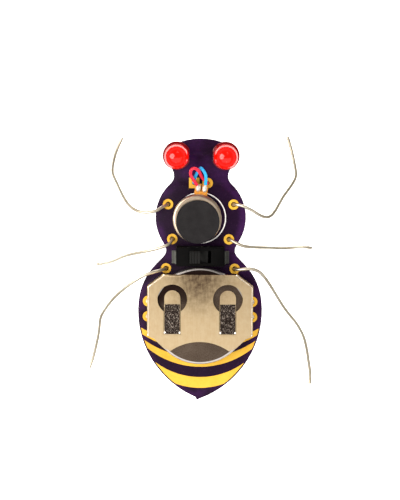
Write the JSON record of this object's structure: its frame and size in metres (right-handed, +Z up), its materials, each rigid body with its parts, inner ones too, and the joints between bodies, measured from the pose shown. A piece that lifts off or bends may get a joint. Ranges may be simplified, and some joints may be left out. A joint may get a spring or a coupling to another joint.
{
  "type": "vibrating insect robot kit",
  "caption": "Insect-shaped circuit board robot on bent wire legs, shaken by a coin motor, with LED eyes, a slide switch and a coin cell in a sheet-metal retainer.",
  "frame": {"origin": "on the floor under the middle of the part, at the board's middle line", "axes": "+Z up, +Y towards the head and its LED eyes, +X to the robot's right"},
  "size_m": [0.0479, 0.0547, 0.0193],
  "materials": {
    "purple_board": "satin solder mask",
    "gold_plating": "bright plated copper",
    "tinned_wire": "bright tinned copper wire",
    "solder": "bright solder",
    "retainer_nickel": "nickel-plated sheet",
    "motor_steel": "plated steel",
    "black_foam": "fine closed-cell foam",
    "tape_white": "double-sided foam tape",
    "amber_film": "translucent polyimide film",
    "red_insulation": "smooth insulation",
    "blue_insulation": "smooth insulation",
    "red_lens": "clear tinted epoxy",
    "led_metal": "tinned lead frame",
    "led_die": "light-emitting die",
    "black_nylon": "fine moulded texture",
    "lever_plastic": "fine moulded texture",
    "contact_bronze": "spring bronze",
    "cell_steel": "nickel-plated stainless",
    "gasket_plastic": "moulded seal",
    "cathode_mix": "pressed powder",
    "separator_felt": "non-woven felt",
    "lithium": "soft metal",
    "magnet_ferrite": "sintered magnet",
    "rotor_plastic": "moulded",
    "enamelled_copper": "enamelled winding",
    "dense_weight": "sintered heavy metal",
    "bush_bronze": "sintered bronze"
  },
  "bodies": {
    "robot": {"circuit_board": "purple_board", "tail_stripes": "gold_plating", "leg_eyelets": "gold_plating", "retainer_eyelets": "gold_plating", "motor_lead_pads": "gold_plating", "led_eyelets": "gold_plating", "switch_eyelets": "gold_plating", "cell_contact_pad": "gold_plating", "motor_adhesive": "tape_white", "motor_base_plate": "motor_steel", "motor_flex_tail": "amber_film", "motor_magnet": "magnet_ferrite", "motor_brushes": "contact_bronze", "motor_shaft": "motor_steel", "motor_can": "motor_steel", "motor_foam_disc": "black_foam", "tail_solder": "solder", "red_lead": "red_insulation", "blue_lead": "blue_insulation", "lead_solder": "solder", "led_lens_left": "red_lens", "led_lens_right": "red_lens", "led_anodes": "led_metal", "led_cathodes": "led_metal", "led_chips": "led_die", "led_bond_wires": "gold_plating", "led_solder": "solder", "switch_base": "black_nylon", "switch_terminals": "tinned_wire", "switch_housing": "black_nylon", "switch_ears": "tinned_wire", "switch_solder": "solder", "cell_retainer": "retainer_nickel", "retainer_solder": "solder", "leg_front_left": "tinned_wire", "leg_front_right": "tinned_wire", "leg_middle_left": "tinned_wire", "leg_middle_right": "tinned_wire", "leg_rear_left": "tinned_wire", "leg_rear_right": "tinned_wire", "leg_solder": "solder"},
    "switch_slider": {"switch_lever": "lever_plastic", "switch_contact": "contact_bronze"},
    "coin_cell": {"cell_can": "cell_steel", "cell_gasket": "gasket_plastic", "cell_cap": "cell_steel", "cell_cathode": "cathode_mix", "cell_separator": "separator_felt", "cell_anode": "lithium"},
    "motor_rotor": {"rotor_bush": "bush_bronze", "rotor_frame": "rotor_plastic", "rotor_coils": "enamelled_copper", "rotor_weight": "dense_weight"}
  },
  "joints": [
    {"name": "switch_slide", "type": "slide", "parent": "robot", "child": "switch_slider", "axis": [1, 0, 0], "range_m": [0, 0.0022]},
    {"name": "cell_slide", "type": "slide", "parent": "robot", "child": "coin_cell", "axis": [0, -1, 0], "range_m": [0, 0.028]},
    {"name": "rotor_spin", "type": "hinge", "parent": "robot", "child": "motor_rotor", "pos_m": [-0.0007, 0.01055, 0.0124], "axis": [0, 0, 1], "continuous": true}
  ]
}
